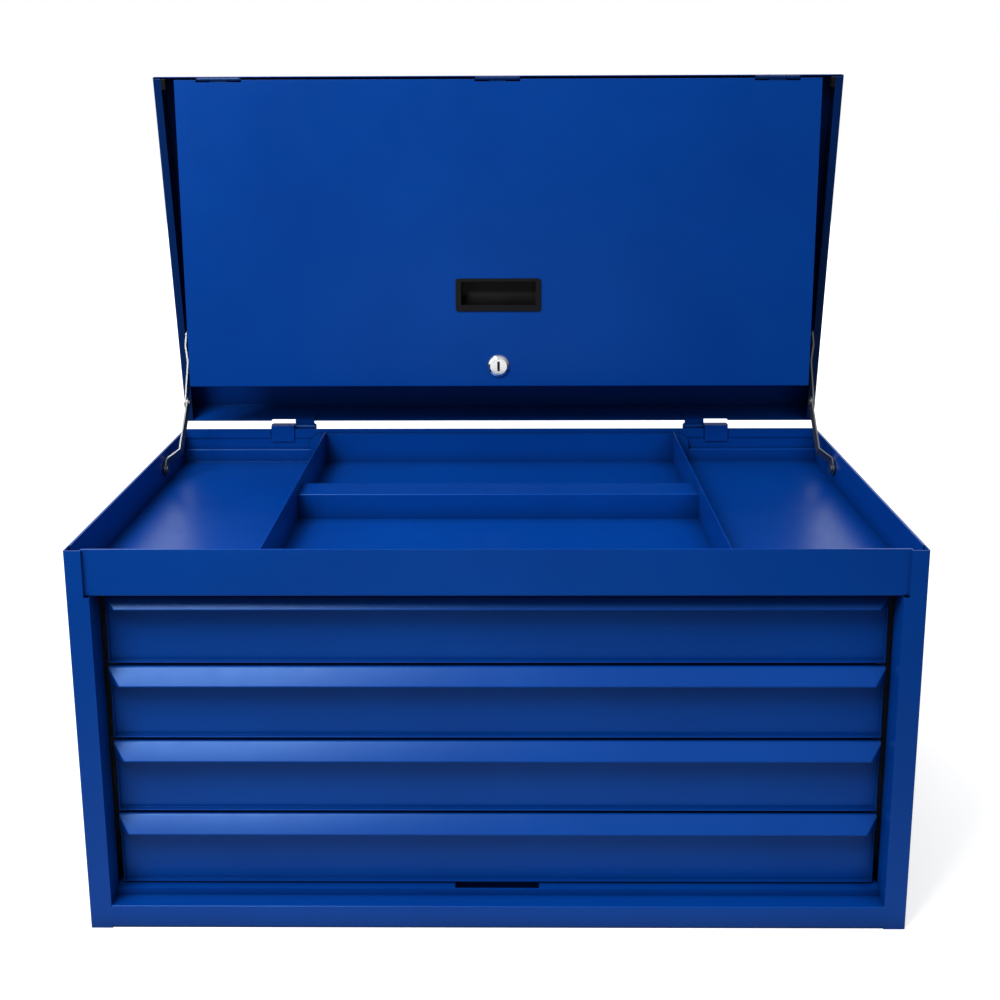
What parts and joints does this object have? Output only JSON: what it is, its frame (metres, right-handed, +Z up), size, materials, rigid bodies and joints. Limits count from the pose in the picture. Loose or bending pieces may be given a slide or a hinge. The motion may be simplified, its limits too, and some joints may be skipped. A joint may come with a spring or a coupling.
{
  "type": "portable tool box with drawers",
  "caption": "Portable steel tool box with a hinged lid, a drop-down lockable front cover, sliding drawers with full-width pulls and a divided top till.",
  "frame": {"origin": "centre of the flat underside of the case", "axes": "+X to the box's right as seen from the front, +Y from the front to the back, +Z up"},
  "size_m": [0.716, 0.4242, 0.7139],
  "materials": {
    "blue_paint": "gloss powder coat",
    "zinc_steel": "zinc plated",
    "chrome": "polished",
    "black_plastic": "moulded"
  },
  "bodies": {
    "case": {"side_left": "blue_paint", "side_right": "blue_paint", "back_wall": "blue_paint", "base_pan": "blue_paint", "bottom_rail": "blue_paint", "top_rail": "blue_paint", "till_floor": "blue_paint", "till_rear_plate": "blue_paint", "till_partition_left": "blue_paint", "till_partition_right": "blue_paint", "till_cross_divider": "blue_paint", "slide_rack_left": "zinc_steel", "slide_rack_right": "zinc_steel", "case_hinge_leaves": "blue_paint", "lid_hinge_pins": "blue_paint", "stay_pivot_left": "zinc_steel", "stay_pivot_right": "zinc_steel", "handle_bracket_left": "zinc_steel", "handle_bracket_right": "zinc_steel"},
    "lid": {"lid_shell": "blue_paint", "lid_hinge_leaves": "blue_paint", "cover_leaves_lid": "blue_paint", "stay_post_left": "zinc_steel", "stay_post_right": "zinc_steel", "lid_buffers": "black_plastic", "cover_stops": "black_plastic"},
    "cover_pins": {"cover_pins": "blue_paint"},
    "front_cover": {"cover_panel": "blue_paint", "cover_leaves": "blue_paint", "cover_handle": "black_plastic", "lock_housing": "chrome", "lock_nut": "chrome"},
    "lock_plug": {"lock_plug": "chrome", "lock_cam": "chrome"},
    "drawer_1": {"drawer_1_tray": "blue_paint", "drawer_1_front": "blue_paint", "drawer_1_runners": "zinc_steel"},
    "slide_mid_1": {"slide_mid_1": "zinc_steel"},
    "drawer_2": {"drawer_2_tray": "blue_paint", "drawer_2_front": "blue_paint", "drawer_2_runners": "zinc_steel"},
    "slide_mid_2": {"slide_mid_2": "zinc_steel"},
    "drawer_3": {"drawer_3_tray": "blue_paint", "drawer_3_front": "blue_paint", "drawer_3_runners": "zinc_steel"},
    "slide_mid_3": {"slide_mid_3": "zinc_steel"},
    "drawer_4": {"drawer_4_tray": "blue_paint", "drawer_4_front": "blue_paint", "drawer_4_runners": "zinc_steel"},
    "slide_mid_4": {"slide_mid_4": "zinc_steel"},
    "stay_lower_left": {"stay_lower_left": "zinc_steel"},
    "stay_upper_left": {"stay_upper_left": "zinc_steel"},
    "bail_left": {"bail_left": "black_plastic"},
    "stay_lower_right": {"stay_lower_right": "zinc_steel"},
    "stay_upper_right": {"stay_upper_right": "zinc_steel"},
    "bail_right": {"bail_right": "black_plastic"}
  },
  "joints": [
    {"name": "lid_hinge", "type": "hinge", "parent": "case", "child": "lid", "pos_m": [0, 0.1944, 0.3376], "axis": [-1, 0, 0], "range_deg": [-81.6, 0]},
    {"name": "cover_pin_turn", "type": "hinge", "parent": "lid", "child": "cover_pins", "pos_m": [0, 0.1432, 0.71103], "axis": [-1, 0, 0], "range_deg": [-10.1, 0]},
    {"name": "front_cover_hinge", "type": "hinge", "parent": "cover_pins", "child": "front_cover", "pos_m": [0, 0.1432, 0.71103], "axis": [1, 0, 0], "range_deg": [-170, 0]},
    {"name": "lock_turn", "type": "hinge", "parent": "front_cover", "child": "lock_plug", "pos_m": [0, 0.1407, 0.41753], "axis": [0, 1, 0], "range_deg": [0, 90]},
    {"name": "drawer_1_slide", "type": "slide", "parent": "case", "child": "drawer_1", "axis": [0, -1, 0], "range_m": [0, 0.28]},
    {"name": "slide_1", "type": "slide", "parent": "case", "child": "slide_mid_1", "axis": [0, -1, 0], "range_m": [0, 0.14]},
    {"name": "drawer_2_slide", "type": "slide", "parent": "case", "child": "drawer_2", "axis": [0, -1, 0], "range_m": [0, 0.28]},
    {"name": "slide_2", "type": "slide", "parent": "case", "child": "slide_mid_2", "axis": [0, -1, 0], "range_m": [0, 0.14]},
    {"name": "drawer_3_slide", "type": "slide", "parent": "case", "child": "drawer_3", "axis": [0, -1, 0], "range_m": [0, 0.28]},
    {"name": "slide_3", "type": "slide", "parent": "case", "child": "slide_mid_3", "axis": [0, -1, 0], "range_m": [0, 0.14]},
    {"name": "drawer_4_slide", "type": "slide", "parent": "case", "child": "drawer_4", "axis": [0, -1, 0], "range_m": [0, 0.28]},
    {"name": "slide_4", "type": "slide", "parent": "case", "child": "slide_mid_4", "axis": [0, -1, 0], "range_m": [0, 0.14]},
    {"name": "stay_lower_left_turn", "type": "hinge", "parent": "case", "child": "stay_lower_left", "pos_m": [-0.342, 0.1, 0.318], "axis": [-1, 0, 0], "range_deg": [0, 7.82]},
    {"name": "stay_upper_left_turn", "type": "hinge", "parent": "lid", "child": "stay_upper_left", "pos_m": [-0.3359, 0.18514, 0.44136], "axis": [-1, 0, 0], "range_deg": [-53.05, 0]},
    {"name": "bail_left_turn", "type": "hinge", "parent": "case", "child": "bail_left", "pos_m": [-0.352, 0, 0.25], "axis": [0, 1, 0], "range_deg": [0, 90]},
    {"name": "stay_lower_right_turn", "type": "hinge", "parent": "case", "child": "stay_lower_right", "pos_m": [0.342, 0.1, 0.318], "axis": [-1, 0, 0], "range_deg": [0, 7.82]},
    {"name": "stay_upper_right_turn", "type": "hinge", "parent": "lid", "child": "stay_upper_right", "pos_m": [0.3359, 0.18514, 0.44136], "axis": [-1, 0, 0], "range_deg": [-53.05, 0]},
    {"name": "bail_right_turn", "type": "hinge", "parent": "case", "child": "bail_right", "pos_m": [0.352, 0, 0.25], "axis": [0, -1, 0], "range_deg": [0, 90]}
  ],
  "couplings": [
    {"joint": "cover_pin_turn", "follows": "lid_hinge", "ratio": 0.12255},
    {"joint": "slide_1", "follows": "drawer_1_slide", "ratio": 0.5},
    {"joint": "slide_2", "follows": "drawer_2_slide", "ratio": 0.5},
    {"joint": "slide_3", "follows": "drawer_3_slide", "ratio": 0.5},
    {"joint": "slide_4", "follows": "drawer_4_slide", "ratio": 0.5},
    {"joint": "stay_lower_left_turn", "follows": "lid_hinge", "ratio": -0.095208},
    {"joint": "stay_upper_left_turn", "follows": "lid_hinge", "ratio": 0.64955},
    {"joint": "stay_lower_right_turn", "follows": "lid_hinge", "ratio": -0.095208},
    {"joint": "stay_upper_right_turn", "follows": "lid_hinge", "ratio": 0.64955}
  ]
}
